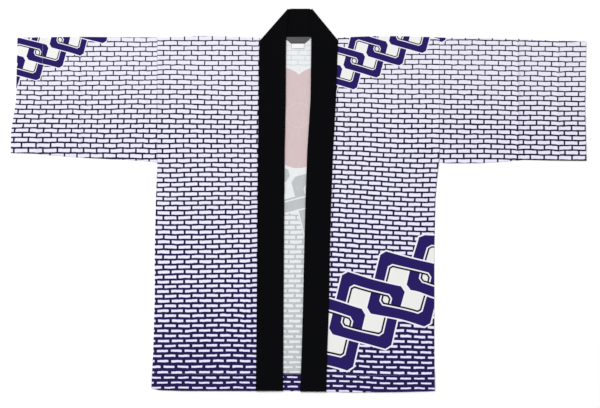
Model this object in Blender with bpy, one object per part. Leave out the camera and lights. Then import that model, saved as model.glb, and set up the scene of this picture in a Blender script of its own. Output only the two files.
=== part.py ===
"""A happi coat laid flat on a table, face up: two fronts over a back, two tube sleeves,
a black collar band and two small labels in the neck seam.

Frame: +X towards the wearer's left cuff, +Y from the hem to the collar, +Z up off the table.
The origin is on the table, under the middle of the coat. All sizes are in metres.
Left and right are the wearer's, so the left front is at +X.
"""

import math
from collections import namedtuple

import bmesh
import bpy

# Cloth.
CLOTH = 0.0012  # wall of the printed cotton
BAND = 0.0024  # wall of the collar, a strip folded double and pressed
TAPE = 0.001  # wall of a label
SEAM_GAP = 0.0003  # between two pieces that are sewn together

# Length and width of the coat.
SHOULDER_Y = 0.3665  # shoulder fold at the neck and at the armhole
SHOULDER_BOW = 0.0034  # how far the fold bows up between them
SHOULDER_LAP = 0.0030  # how far a front runs on under the fold, to meet the back
HEM_TURN = 0.040  # hem turned up to the inside
ARMHOLE_X = 0.3175  # armhole seam, on both sides
UNDERARM_Y = 0.0850  # lower end of the armhole
CUFF_X = 0.6470  # furthest point of each cuff

# Heights of the middle of each layer above the table.
LAYER_STEP = CLOTH + SEAM_GAP  # one cloth lying on another
BACK_Z = CLOTH / 2
TOP_Z = BACK_Z + LAYER_STEP  # upper cloth where it touches the back
LOFT = 0.0009  # how far the upper cloth stands off the back between its seams
WAVE = 0.5  # share of the loft by which it is uneven
WAVES_X = 9.0  # its waves, in radians for each metre, and where they start
WAVES_Y = 11.0
WAVE_START_X = 2.1
WAVE_START_Y = 0.7
BAND_Z = BACK_Z + (CLOTH + BAND) / 2 + SEAM_GAP  # collar band along the fronts
NECK_Z = BAND / 2  # collar behind the neck, flat on the table
MITRE_R = 0.0020  # bend of the collar strip at a mitre
MITRE_Z = NECK_Z + 2 * MITRE_R  # collar band above the neck stretch

# Where the upper cloth leaves the level of the cloth under it.
SIDE_SLOPE = 0.040  # in from a side seam
HEM_RISE_FROM = -0.3850
HEM_RISE_TO = -0.3300
CREASE_FADE = 0.030  # length over which a crease dies out at its ends
BAND_CREASE = 0.5  # height of a crease in the stiffer collar band, to one in the front
EVEN_FROM = SHOULDER_Y - 0.080  # the loft evens out from here up to here
EVEN_TO = SHOULDER_Y - 0.030
NECK_RISE_FROM = 0.3100  # the band rises over the neck stretch from here up to here
NECK_RISE_TO = 0.3550
CUFF_LEAN_FROM = 0.35  # share of the way out along a sleeve where its cuff's lean starts

# Grid lines.
FOLD_STEPS = 6  # facets in a half turn
HALF_COLUMNS = 7  # over half of the body
NEAR = 0.35  # share of a step within which an extra grid line takes an even one's place
NOTCH = 0.04  # share of the way out where one more line runs, beside the collar seam
FRONT_ROWS = 14
BACK_ROWS = 10
NECK_COLUMNS = 10
SLEEVE_ROWS = 7
SLEEVE_COLUMNS = 6
BAND_ROWS = 14
CORNER_ROWS = 4
NECK_ROWS = 5
CORNER_SHARES = [0.2, 0.45, 0.75]  # ribs that fan out from the seam to each mitre
ROW_MARGIN = 0.010  # from a hem or a shoulder fold to the first level row

# Level cuts through the body. side: outer edge, seam: where the band is sewn to the front,
# free: the band's loose edge.
Cut = namedtuple(
    "Cut", "y side_right seam_right free_right free_left seam_left side_left"
)
CUTS = [
    Cut(0.3510, -ARMHOLE_X, -0.0875, -0.0297, 0.0299, 0.0884, ARMHOLE_X),
    Cut(0.2270, -ARMHOLE_X, -0.0884, -0.0302, 0.0284, 0.0842, ARMHOLE_X),
    Cut(0.1145, -ARMHOLE_X, -0.0898, -0.0326, 0.0212, 0.0779, ARMHOLE_X),
    Cut(0.0820, -ARMHOLE_X, -0.0901, -0.0329, 0.0200, 0.0766, 0.3150),
    Cut(0.0020, -0.3208, -0.0909, -0.0335, 0.0171, 0.0736, 0.3080),
    Cut(-0.1105, -0.3236, -0.0918, -0.0342, 0.0142, 0.0707, 0.3056),
    Cut(-0.2230, -0.3236, -0.0927, -0.0351, 0.0117, 0.0689, 0.3056),
    Cut(-0.3355, -0.3267, -0.0938, -0.0356, 0.0086, 0.0648, 0.3056),
    Cut(-0.4300, -0.3303, -0.0950, -0.0365, 0.0052, 0.0626, 0.3067),
]

# Upright cuts through each sleeve, from armhole to cuff. out: share of the sleeve's length.
SleeveCut = namedtuple("SleeveCut", "out top bottom")
SLEEVE_RIGHT = [
    SleeveCut(0.00, 0.3665, 0.0850),
    SleeveCut(0.06, 0.3668, 0.0880),
    SleeveCut(0.25, 0.3672, 0.0920),
    SleeveCut(0.53, 0.3682, 0.0964),
    SleeveCut(0.75, 0.3676, 0.1022),
    SleeveCut(0.83, 0.3672, 0.1055),
    SleeveCut(1.00, 0.3656, 0.1069),
]
SLEEVE_LEFT = [
    SleeveCut(0.00, 0.3665, 0.0850),
    SleeveCut(0.06, 0.3660, 0.0838),
    SleeveCut(0.28, 0.3654, 0.0842),
    SleeveCut(0.42, 0.3646, 0.0866),
    SleeveCut(0.57, 0.3632, 0.0915),
    SleeveCut(0.76, 0.3598, 0.0900),
    SleeveCut(1.00, 0.3571, 0.0893),
]
# Each cuff leans: how far it falls short of CUFF_X. up: share of its depth, from the bottom.
CuffCut = namedtuple("CuffCut", "up right left")
CUFFS = [
    CuffCut(0.00, 0.0, 0.0),
    CuffCut(0.20, 0.0015, 0.0012),
    CuffCut(0.45, 0.0120, 0.0030),
    CuffCut(1.00, 0.0154, 0.0004),
]

# The hem's lower edge under each front. across: share of the way from seam to side.
HemCut = namedtuple("HemCut", "across right left")
HEMS = [
    HemCut(0.00, -0.4282, -0.4298),
    HemCut(0.30, -0.4284, -0.4315),
    HemCut(0.70, -0.4282, -0.4306),
    HemCut(0.93, -0.4264, -0.4292),
    HemCut(1.00, -0.4225, -0.4284),
]

# Creases that stay from the coat's folding, as ridges of the upper cloth.
# along: the axis that a ridge runs along, at: its place on the other axis.
Crease = namedtuple("Crease", "along at start end height half_width")
CREASES = [
    Crease("y", -0.4930, 0.09, 0.36, 0.0016, 0.012),
    Crease("y", -0.5800, 0.10, 0.37, 0.0013, 0.010),
    Crease("y", 0.4945, 0.09, 0.36, 0.0017, 0.012),
    Crease("y", 0.5900, 0.09, 0.36, 0.0010, 0.014),
    Crease("x", 0.0088, -0.33, 0.32, 0.0012, 0.010),
    Crease("x", -0.1890, -0.33, -0.09, 0.0009, 0.012),
    Crease("x", 0.1100, 0.08, 0.32, 0.0009, 0.012),
]

# Collar behind the neck: its corners, seen from above, and the seam with the back between.
Mitre = namedtuple("Mitre", "seam_x seam_y tip_x")
MITRE_RIGHT = Mitre(-0.0874, 0.3593, -0.0239)
MITRE_LEFT = Mitre(0.0884, 0.3610, 0.0306)
COLLAR_TOP_Y = 0.4314
NECKLINE_Y = 0.3680
NECKLINE_FLAT = 0.0450  # the neckline is straight to this far each side of the middle
NECK_LINES = [-NECKLINE_FLAT, NECKLINE_FLAT]
NOTCH_X = 0.0930  # where that seam ends and the back steps up to the shoulder, each side

# Labels in the neck seam.
LABEL_X = -0.0017  # middle of the neck label
LABEL_TOP_HALF = 0.0316
LABEL_FOOT_HALF = 0.0152
LABEL_FOOT_Y = 0.3530
LABEL_Z = 0.0034
SIZE_LABEL_X = -0.0012
SIZE_LABEL_HALF = 0.0138
SIZE_LABEL_FOOT_Y = 0.3412
SIZE_LABEL_Z = 0.0021


def reading(table, key, column, at):
    """The table's column at a value of its key, on straight lines between its rows."""
    rows = sorted(table, key=lambda row: getattr(row, key))
    at = min(max(at, getattr(rows[0], key)), getattr(rows[-1], key))
    for low, high in zip(rows, rows[1:]):
        if at <= getattr(high, key):
            share = (at - getattr(low, key)) / (getattr(high, key) - getattr(low, key))
            return getattr(low, column) * (1 - share) + getattr(high, column) * share
    return getattr(rows[-1], column)


def eased(low, high, at):
    """0 below low, 1 above high, and a smooth step between them."""
    share = min(max((at - low) / (high - low), 0), 1)
    return share * share * (3 - 2 * share)


def spaced(low, high, count, extra=()):
    """count even steps from low to high, with extra values in place of any near them."""
    even = [low + (high - low) * i / count for i in range(count + 1)]
    near = abs(high - low) / count * NEAR
    kept = [v for v in even[1:-1] if all(abs(v - e) > near for e in extra)]
    inside = [e for e in extra if min(low, high) < e < max(low, high)]
    return [low, *sorted(kept + inside, reverse=high < low), high]


def turns(angle, steps):
    """Even steps from 0 to an angle."""
    return [angle * i / steps for i in range(steps + 1)]


def ridge(crease, x, y):
    """Height of a crease's ridge over a point."""
    across, along = (x, y) if crease.along == "y" else (y, x)
    off = abs(across - crease.at) / crease.half_width
    if off >= 1:
        return 0.0
    ends = eased(crease.start, crease.start + CREASE_FADE, along)
    ends *= 1 - eased(crease.end - CREASE_FADE, crease.end, along)
    return crease.height * ends * (1 - off) ** 2 * (1 + 2 * off)


def crease_lines(along, low, high):
    """Grid lines for the creases that run along an axis: each ridge's foot, top and foot."""
    found = []
    for crease in CREASES:
        if crease.along == along and low < crease.at < high:
            found += [crease.at + k * crease.half_width for k in (-1, 0, 1)]
    return found


def over_hems(y):
    """1 over the turned hems, 0 well above them."""
    return 1 - eased(HEM_RISE_FROM, HEM_RISE_TO, y)


def top_z(x, y):
    """Height of the middle of the upper cloth. It touches the back along the side seams,
    stands off it a little between them, and rises over the hems."""
    side = "left" if x > 0 else "right"
    from_side = abs(reading(CUTS, "y", "side_" + side, y)) - abs(x)
    sewn = 1 - eased(UNDERARM_Y - SIDE_SLOPE, UNDERARM_Y, y)
    hollow = 1 - sewn * (1 - eased(0, SIDE_SLOPE, from_side))
    uneven = WAVE * (1 - eased(EVEN_FROM, EVEN_TO, y))
    waves = math.sin(WAVES_X * x + WAVE_START_X) * math.sin(WAVES_Y * y + WAVE_START_Y)
    wave = LOFT * (1 + uneven * waves)
    wave += sum(ridge(crease, x, y) for crease in CREASES)
    return TOP_Z + wave * hollow * (1 - over_hems(y)) + 2 * LAYER_STEP * over_hems(y)


def band_z(x, y):
    """Height of the middle of the collar band along a front."""
    over_neck = eased(NECK_RISE_FROM, NECK_RISE_TO, y)
    z = BAND_Z + LAYER_STEP * over_hems(y) + (MITRE_Z - BAND_Z) * over_neck
    return z + BAND_CREASE * sum(ridge(crease, x, y) for crease in CREASES)


def shoulder_turn(x, turn):
    """A point of a front's fold over the shoulder: its y and how far it is under the front."""
    share = (abs(x) - NOTCH_X) / (ARMHOLE_X - NOTCH_X)
    crest = SHOULDER_Y + SHOULDER_BOW * math.sin(math.pi * min(max(share, 0), 1))
    bend = (top_z(x, SHOULDER_Y) - BACK_Z) / 2
    y = crest - CLOTH / 2 - bend * (1 - math.sin(turn))
    return y, bend * (1 - math.cos(turn))


def mitre_line(mitre, out):
    """The line that the collar strip's middle bends on at a mitre, from its seam edge to its
    free edge, and the unit step from it out to the fold."""
    rise, run = COLLAR_TOP_Y - mitre.seam_y, mitre.tip_x - mitre.seam_x
    size = math.hypot(rise, run)
    step = (out * rise / size, -out * run / size)
    inset = MITRE_R + BAND / 2
    seam = (mitre.seam_x - step[0] * inset, mitre.seam_y - step[1] * inset)
    tip = (mitre.tip_x - step[0] * inset, COLLAR_TOP_Y - step[1] * inset)
    return seam, tip, step


def neckline_y(x):
    """Where the collar is sewn to the back."""
    mitre, out = (MITRE_LEFT, 1) if x > 0 else (MITRE_RIGHT, -1)
    corner = mitre_line(mitre, out)[0]
    share = (abs(x) - NECKLINE_FLAT) / (abs(corner[0]) - NECKLINE_FLAT)
    return NECKLINE_Y + (corner[1] - NECKLINE_Y) * min(max(share, 0), 1)


def material(name, colour, roughness):
    """A plain finish."""
    made = bpy.data.materials.new(name)
    made.use_nodes = True
    shader = made.node_tree.nodes["Principled BSDF"]
    shader.inputs["Base Color"].default_value = (*colour, 1)
    shader.inputs["Roughness"].default_value = roughness
    shader.inputs["Metallic"].default_value = 0
    return made


def sheet(name, rows, wall, finish):
    """A cloth wall on a grid of points, given row by row, through the middle of the cloth.
    Points at the same place become one, as where a tube closes."""
    last_row, last_column = len(rows) - 1, len(rows[0]) - 1
    bm = bmesh.new()
    bmesh.ops.create_grid(bm, x_segments=last_column, y_segments=last_row, size=1)
    for vert in bm.verts:
        row = round((vert.co.y + 1) / 2 * last_row)
        column = round((vert.co.x + 1) / 2 * last_column)
        vert.co = rows[row][column]
    bmesh.ops.remove_doubles(bm, verts=bm.verts, dist=1e-6)
    mesh = bpy.data.meshes.new(name)
    bm.to_mesh(mesh)
    bm.free()
    mesh.materials.append(finish)
    mesh.shade_smooth()
    mesh.set_sharp_from_angle(angle=math.radians(40))
    made = bpy.data.objects.new(name, mesh)
    bpy.context.scene.collection.objects.link(made)
    thick = made.modifiers.new("wall", "SOLIDIFY")
    thick.thickness = wall
    thick.offset = 0
    thick.use_even_offset = True


def turned_hem(across, hem, turned_z, cloth_z):
    """Rows of a hem turned to the inside, from its edge down to its fold and round it."""
    bend = (cloth_z - turned_z) / 2
    rows = []
    for up in (HEM_TURN, HEM_TURN / 2, 2 * abs(bend)):
        rows.append([(x, y + up, turned_z) for x, y in zip(across(hem[0] + up), hem)])
    for turn in turns(math.pi, FOLD_STEPS):
        up = abs(bend) * (1 - math.sin(turn))
        z = turned_z + bend * (1 - math.cos(turn))
        rows.append([(x, y + up, z) for x, y in zip(across(hem[0]), hem)])
    return rows


def half_across(side, y):
    """x of the grid lines over half of the body, from the collar seam out to the side."""
    out = 1 if side == "left" else -1
    seam = reading(CUTS, "y", "seam_" + side, y) + out * SEAM_GAP
    edge = reading(CUTS, "y", "side_" + side, y) - out * SEAM_GAP / 2
    return [seam + (edge - seam) * share for share in spaced(0, 1, HALF_COLUMNS, [NOTCH])]


def half_hem(side):
    """y of the hem's fold under each of those lines, to the middle of the cloth."""
    shares = spaced(0, 1, HALF_COLUMNS, [NOTCH])
    return [reading(HEMS, "across", side, share) + CLOTH / 2 for share in shares]


def front(name, side, finish):
    """A front: from its turned hem up and over the shoulder to the back, and from the collar
    seam out to the side seam, where it lies on the back, or to the armhole."""

    def across(y):
        return half_across(side, y)

    hem = half_hem(side)
    cloth_z = TOP_Z + 2 * LAYER_STEP
    rows = turned_hem(across, hem, cloth_z - LAYER_STEP, cloth_z)
    low, high = hem[0] + ROW_MARGIN, SHOULDER_Y - ROW_MARGIN
    level = [UNDERARM_Y - SIDE_SLOPE, UNDERARM_Y, HEM_RISE_FROM, HEM_RISE_TO]
    for y in spaced(low, high, FRONT_ROWS, level + crease_lines("x", low, high)):
        points = zip(across(y), hem)
        rows.append([(x, y + (foot - hem[0]) * over_hems(y), top_z(x, y)) for x, foot in points])
    for turn in turns(math.pi, FOLD_STEPS):
        points = [(x, *shoulder_turn(x, turn)) for x in across(SHOULDER_Y)]
        rows.append([(x, y, top_z(x, SHOULDER_Y) - down) for x, y, down in points])
    rows.append([(x, y - SHOULDER_LAP, z) for x, y, z in rows[-1]])
    sheet(name, rows, CLOTH, finish)


def back(finish):
    """The back: flat on the table, cut away at the neck, with its hem turned up to the
    inside."""
    low, high = half_across("right", SHOULDER_Y)[0], half_across("left", SHOULDER_Y)[0]
    corners = [mitre_line(MITRE_RIGHT, -1)[0][0], mitre_line(MITRE_LEFT, 1)[0][0]]
    lines = spaced(low, high, NECK_COLUMNS, corners + NECK_LINES)[1:-1]
    shares = [(x - low) / (high - low) for x in lines]

    def across(y):
        right, left = half_across("right", y), half_across("left", y)
        neck = [right[0] + (left[0] - right[0]) * share for share in shares]
        return right[::-1] + neck + left

    right, left = half_hem("right"), half_hem("left")
    hem = right[::-1] + [right[0] + (left[0] - right[0]) * share for share in shares] + left
    rows = turned_hem(across, hem, BACK_Z + LAYER_STEP, BACK_Z)
    low, high = hem[0] + ROW_MARGIN, SHOULDER_Y - 2 * ROW_MARGIN
    for y in spaced(low, high, BACK_ROWS, [UNDERARM_Y, HEM_RISE_FROM, HEM_RISE_TO]):
        points = zip(across(y), hem)
        rows.append([(x, y + (foot - hem[0]) * over_hems(y), BACK_Z) for x, foot in points])
    top = []
    for x in across(SHOULDER_Y):
        edge = neckline_y(x)
        if abs(x) > NOTCH_X:
            edge = shoulder_turn(x, math.pi)[0] - SHOULDER_LAP
        top.append((x, edge - SEAM_GAP, BACK_Z))
    rows.append(top)
    sheet("back", rows, CLOTH, finish)


def sleeve(name, side, finish):
    """A sleeve: a flat tube, folded at the shoulder and sewn under the arm, open at its
    armhole and its cuff."""
    out = 1 if side == "left" else -1
    table = SLEEVE_LEFT if side == "left" else SLEEVE_RIGHT
    armhole = ARMHOLE_X + SEAM_GAP / 2
    length = CUFF_X - armhole
    low, high = sorted((out * armhole, out * CUFF_X))
    folds = [(abs(at) - armhole) / length for at in crease_lines("y", low, high)]

    def point(share, up, upper):
        """A point share of the way out and up of the way from the lower fold to the upper,
        and the bend that the cloth has there."""
        top = reading(table, "out", "top", share) - CLOTH / 2
        bottom = reading(table, "out", "bottom", share) + CLOTH / 2
        short = reading(CUFFS, "up", side, up) * eased(CUFF_LEAN_FROM, 1, share)
        x = out * (armhole + length * share - short)
        bend = (top_z(x, bottom + (top - bottom) * up) - BACK_Z) / 2
        y = bottom + bend + (top - bottom - 2 * bend) * up
        return x, y, BACK_Z + 2 * bend * upper, bend

    rows = []
    for share in spaced(0, 1, SLEEVE_ROWS, folds):
        ring = []
        for upper, way in ((False, 1), (True, -1)):
            ups = spaced(0, 1, SLEEVE_COLUMNS, [1 - CREASE_FADE, CREASE_FADE])[::way]
            ring += [point(share, up, upper)[:3] for up in ups]
            x, y, _, bend = point(share, ups[-1], upper)
            for turn in turns(math.pi, FOLD_STEPS)[1:-1]:
                z = BACK_Z + bend * (1 - way * math.cos(turn))
                ring.append((x, y + way * bend * math.sin(turn), z))
        rows.append(ring + ring[:1])
    sheet(name, rows, CLOTH, finish)


def collar(finish):
    """The collar: one strip folded double. It runs up the right front, is mitred at the
    shoulder, runs behind the neck, is mitred again and runs down the left front. It is made
    of ribs, each from its seam edge to its free edge."""

    def front_ribs(side, mitre, out):
        """From the hem up the front and round the mitre to the stretch behind the neck."""
        seam, tip, step = mitre_line(mitre, out)
        hem = reading(HEMS, "across", side, 0)
        ribs = []
        for y in spaced(hem, seam[1], BAND_ROWS, crease_lines("x", hem, seam[1])):
            edges = [reading(CUTS, "y", edge + side, y) for edge in ("seam_", "free_")]
            ribs.append([(x, y, band_z(x, y)) for x in edges])
        free = ribs[-1][1]
        for share in CORNER_SHARES:
            corner = [low + (high - low) * share for low, high in zip(free, tip)]
            ribs.append([(*seam, MITRE_Z), (*corner, MITRE_Z)])
        for turn in turns(math.pi, FOLD_STEPS):
            push = MITRE_R * math.sin(turn)
            z = NECK_Z + MITRE_R * (1 + math.cos(turn))
            ribs.append([(x + step[0] * push, y + step[1] * push, z) for x, y in (seam, tip)])
        for x in spaced(seam[0], tip[0], CORNER_ROWS, NECK_LINES)[1:]:
            ribs.append([(x, neckline_y(x), NECK_Z), (*tip, NECK_Z)])
        return ribs

    right = front_ribs("right", MITRE_RIGHT, -1)
    left = front_ribs("left", MITRE_LEFT, 1)
    low, high = right[-1][1][0], left[-1][1][0]
    neck = []
    for x in spaced(low, high, NECK_ROWS)[1:-1]:
        neck.append([(x, NECKLINE_Y, NECK_Z), (x, COLLAR_TOP_Y, NECK_Z)])
    rows = []
    for seam, free in right + neck + left[::-1]:
        middle = tuple((a + b) / 2 for a, b in zip(seam, free))
        rows.append([seam, middle, free])
    sheet("collar", rows, BAND, finish)


def label(name, x, top_half, foot_half, foot_y, z, finish):
    """A label hanging from the neck seam, flat on the back."""
    rows = []
    for y, half in ((foot_y, foot_half), (NECKLINE_Y - SEAM_GAP, top_half)):
        rows.append([(x + half * k, y, z) for k in (-1, 0, 1)])
    sheet(name, rows, TAPE, finish)


def main():
    for obj in list(bpy.data.objects):
        bpy.data.objects.remove(obj)
    white = (0.70, 0.68, 0.80)
    back(material("printed_cotton_back", white, 0.85))
    for side in ("right", "left"):
        front("front_" + side, side, material("printed_cotton_front_" + side, white, 0.85))
        sleeve("sleeve_" + side, side, material("printed_cotton_sleeve_" + side, white, 0.85))
    collar(material("black_twill", (0.006, 0.006, 0.008), 0.8))
    tape = material("grey_tape", (0.30, 0.30, 0.30), 0.7)
    label("neck_label", LABEL_X, LABEL_TOP_HALF, LABEL_FOOT_HALF, LABEL_FOOT_Y, LABEL_Z, tape)
    half = SIZE_LABEL_HALF
    tape = material("white_tape", (0.85, 0.85, 0.85), 0.6)
    label("size_label", SIZE_LABEL_X, half, half, SIZE_LABEL_FOOT_Y, SIZE_LABEL_Z, tape)


main()
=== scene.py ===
"""The looks of a happi coat laid flat, face up, on a pale floor.

All sizes are in metres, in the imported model's frame: +X towards the wearer's left cuff, +Y
from the hem to the collar, +Z up. Left and right are the wearer's.
"""

import math
from collections import namedtuple

import bmesh
import bpy
import numpy as np
from mathutils import Matrix, Vector


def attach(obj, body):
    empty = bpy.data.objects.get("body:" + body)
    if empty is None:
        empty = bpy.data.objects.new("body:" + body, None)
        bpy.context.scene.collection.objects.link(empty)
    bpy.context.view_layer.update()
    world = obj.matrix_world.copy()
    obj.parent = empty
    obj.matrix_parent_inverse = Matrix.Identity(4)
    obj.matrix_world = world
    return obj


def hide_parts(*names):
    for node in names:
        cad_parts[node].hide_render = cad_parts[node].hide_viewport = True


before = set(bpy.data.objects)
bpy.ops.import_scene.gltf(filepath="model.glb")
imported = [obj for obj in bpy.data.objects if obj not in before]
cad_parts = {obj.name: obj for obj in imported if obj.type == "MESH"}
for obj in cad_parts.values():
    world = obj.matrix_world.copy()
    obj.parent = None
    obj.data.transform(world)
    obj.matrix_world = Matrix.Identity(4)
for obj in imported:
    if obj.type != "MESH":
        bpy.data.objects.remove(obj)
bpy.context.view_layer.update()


# ---------------------------------------------------------------------------------------
# The back: one width of printed cotton, flat on the floor with its right side down. Its hem
# is turned up to the inside, so the print shows there, between the fronts. The cloth is
# resist-dyed: purple ground with white bricks left bare, a row of links and a red blossom.

WALL = 0.0008  # thickness of the cotton
LAYER = 0.0010  # from one cloth to the next that lies on it
FLOOR_Z = WALL / 2 + 0.0001  # middle of a cloth that lies on the floor
HEM_TURN = 0.0400  # depth of the turned hem
SEAM_GAP = 0.0003  # between the edges of two pieces that are sewn together
BODY_WIDE = 0.640  # of the cloth of the back
BRICK_LONG = 0.0307  # from joint to joint
COURSE = 0.01105  # from one course of bricks to the next

# Level cuts through the body: the outer edge, the seam with the collar band and the band's
# free edge, on each side.
Cut = namedtuple("Cut", "y side_right seam_right free_right free_left seam_left side_left")
CUTS = [
    Cut(-0.4300, -0.3316, -0.0950, -0.0365, 0.0052, 0.0626, 0.3067),
    Cut(-0.3355, -0.3267, -0.0938, -0.0356, 0.0086, 0.0648, 0.3056),
    Cut(-0.2230, -0.3236, -0.0927, -0.0351, 0.0117, 0.0689, 0.3056),
    Cut(-0.1105, -0.3236, -0.0918, -0.0342, 0.0142, 0.0707, 0.3056),
    Cut(0.0020, -0.3208, -0.0909, -0.0335, 0.0171, 0.0736, 0.3080),
    Cut(0.0820, -0.3175, -0.0901, -0.0329, 0.0200, 0.0766, 0.3150),
    Cut(0.1145, -0.3175, -0.0898, -0.0326, 0.0212, 0.0779, 0.3175),
    Cut(0.2270, -0.3175, -0.0884, -0.0302, 0.0284, 0.0842, 0.3175),
    Cut(0.3510, -0.3175, -0.0875, -0.0297, 0.0299, 0.0884, 0.3175),
]
# The hem's lower edge, from the right side of the coat to the left.
Hem = namedtuple("Hem", "x y")
HEMS = [
    Hem(-0.3300, -0.4225),
    Hem(-0.3135, -0.4264),
    Hem(-0.2600, -0.4282),
    Hem(-0.0950, -0.4284),
    Hem(0.0626, -0.4298),
    Hem(0.1350, -0.4315),
    Hem(0.2330, -0.4306),
    Hem(0.2900, -0.4292),
    Hem(0.3067, -0.4284),
]
ARMHOLE_X = 0.3175
SHOULDER_Y = 0.3665
SHOULDER_BOW = 0.0034  # how far the shoulder fold bows up between the neck and the armhole
SHOULDER_LAP = 0.0040  # how far a front runs on under its fold, to meet the back
NECK_X = 0.0930  # inner end of a shoulder

# How the print lies on a panel. Courses are counted down from the shoulder, and joints along
# an even course. A skew is how far the joints lean aside at a height. A pull draws the print
# aside and up round a point, and fades out over wide and high.
Course = namedtuple("Course", "y number")
Joint = namedtuple("Joint", "x number")
Skew = namedtuple("Skew", "y aside")
Pull = namedtuple("Pull", "x y wide high aside up")
Lie = namedtuple("Lie", "courses joints skews pulls")
BACK_LIE = Lie(
    [
        Course(-0.4286, 70.53),
        Course(-0.3695, 65),
        Course(-0.2194, 52),
        Course(-0.0221, 34),
        Course(0.3485, 0),
    ],
    [Joint(-0.0155, 0), Joint(0.0153, 1)],
    [Skew(-0.2250, -0.0092), Skew(-0.0280, -0.0047), Skew(0.3300, 0)],
    [],
)
BACK_HEM_SLIP = -0.0110  # sideways, of the print on the turned hem

# Creases left from folding and handling: where each starts and ends, how far it bows aside,
# its height (a trough is below 0) and half of its width.
Crease = namedtuple("Crease", "x0 y0 x1 y1 bow high wide")
BACK_CREASES = [
    Crease(-0.075, 0.007, 0.075, 0.005, 0.0, 0.0016, 0.005),
    Crease(-0.075, 0.023, 0.075, 0.023, 0.0, 0.0010, 0.006),
    Crease(-0.06, 0.172, 0.07, 0.165, 0.004, 0.0004, 0.012),
    Crease(0.12, -0.40, 0.115, 0.34, 0.0, 0.0005, 0.010),
    Crease(-0.122, -0.41, -0.118, 0.33, 0.0, 0.0004, 0.009),
    Crease(-0.30, -0.21, -0.02, -0.190, 0.010, 0.0004, 0.014),
    Crease(0.03, -0.29, 0.29, -0.31, -0.008, 0.0003, 0.012),
]


def column(table, key, name, at):
    """A column of a table at values of its key, on straight lines between its rows."""
    return np.interp(at, [getattr(r, key) for r in table], [getattr(r, name) for r in table])


def run_on(table, key, name, at):
    """The same, and straight on past the table's ends."""
    keys = [getattr(row, key) for row in table]
    found = column(table, key, name, at)
    for end, near in ((0, 1), (-1, -2)):
        rise = getattr(table[end], name) - getattr(table[near], name)
        past = at < keys[0] if end == 0 else at > keys[-1]
        straight = found + (at - keys[end]) * rise / (keys[end] - keys[near])
        found = np.where(past, straight, found)
    return found


def share_of(low, high, at):
    """How far a value is from low to high, from 0 to 1."""
    return np.clip((at - low) / (high - low), 0, 1)


def eased(low, high, at):
    """The same, with a smooth start and end."""
    share = share_of(low, high, at)
    return share * share * (3 - 2 * share)


def print_place(lie, x, y, drawn=0):
    """Where a point of a panel is on its flat printed cloth. drawn: how far creases draw the
    print down there."""
    y = y + drawn
    aside = column(lie.skews, "y", "aside", y)
    up = 0
    for pull in lie.pulls:
        off = ((x - pull.x) / pull.wide) ** 2 + ((y - pull.y) / pull.high) ** 2
        aside = aside + pull.aside * np.exp(-off)
        up = up + pull.up * np.exp(-off)
    joint = run_on(lie.joints, "x", "number", x - aside)
    number = run_on(lie.courses, "y", "number", y - up)
    return joint * BRICK_LONG, -number * COURSE


def creased(creases, x, y):
    """Height of the creases over a point."""
    height = np.zeros(np.shape(x))
    for crease in creases:
        dx, dy = crease.x1 - crease.x0, crease.y1 - crease.y0
        long = math.hypot(dx, dy)
        along = ((x - crease.x0) * dx + (y - crease.y0) * dy) / long**2
        bow = 4 * crease.bow * along * (1 - along)
        off = ((x - crease.x0) * dy - (y - crease.y0) * dx) / long - bow
        ends = eased(0, 0.2, along) * eased(1, 0.8, along)
        height += crease.high * ends * np.exp(-(np.abs(off / crease.wide) ** 1.5))
    return height


def fold(run, radius):
    """Cloth that runs into a fold and out again. At each length of cloth past the middle of
    the fold: how far in it is from the fold's edge, and how far above the fold's middle."""
    turn = np.clip(run / radius, -math.pi / 2, math.pi / 2)
    beyond = np.maximum(np.abs(run) - radius * math.pi / 2, 0)
    return radius * (1 - np.cos(turn)) + beyond, radius * np.sin(turn)


KEPT = 0.0080  # length of cloth next to a fold that isn't stretched to fit


def span(run, whole, low, low_radius, high, high_radius):
    """Cloth that runs from a fold whose edge is at low to one at high. Where it is between
    them, and how far above the middle of either fold."""
    near, low_rise = fold(np.minimum(run, KEPT), low_radius)
    far, high_rise = fold(np.minimum(whole - run, KEPT), high_radius)
    share = share_of(KEPT, whole - KEPT, run)
    return (low + near) * (1 - share) + (high - far) * share, low_rise, high_rise


def lines(low, high, gap, fine_low=(), fine_high=()):
    """Even grid lines from low to high, with finer ones set in from its ends."""
    even = np.linspace(low, high, round((high - low) / gap) + 1)
    first, last = low + max(fine_low, default=-1), high - max(fine_high, default=-1)
    even = even[(even > first) & (even < last)]
    fine = [low + step for step in fine_low] + [high - step for step in fine_high]
    return np.array(sorted({*fine, *even}))


def show(name, data):
    """An object for a mesh, a light or a camera, put in the scene."""
    made = bpy.data.objects.new(name, data)
    bpy.context.scene.collection.objects.link(made)
    return made


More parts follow.
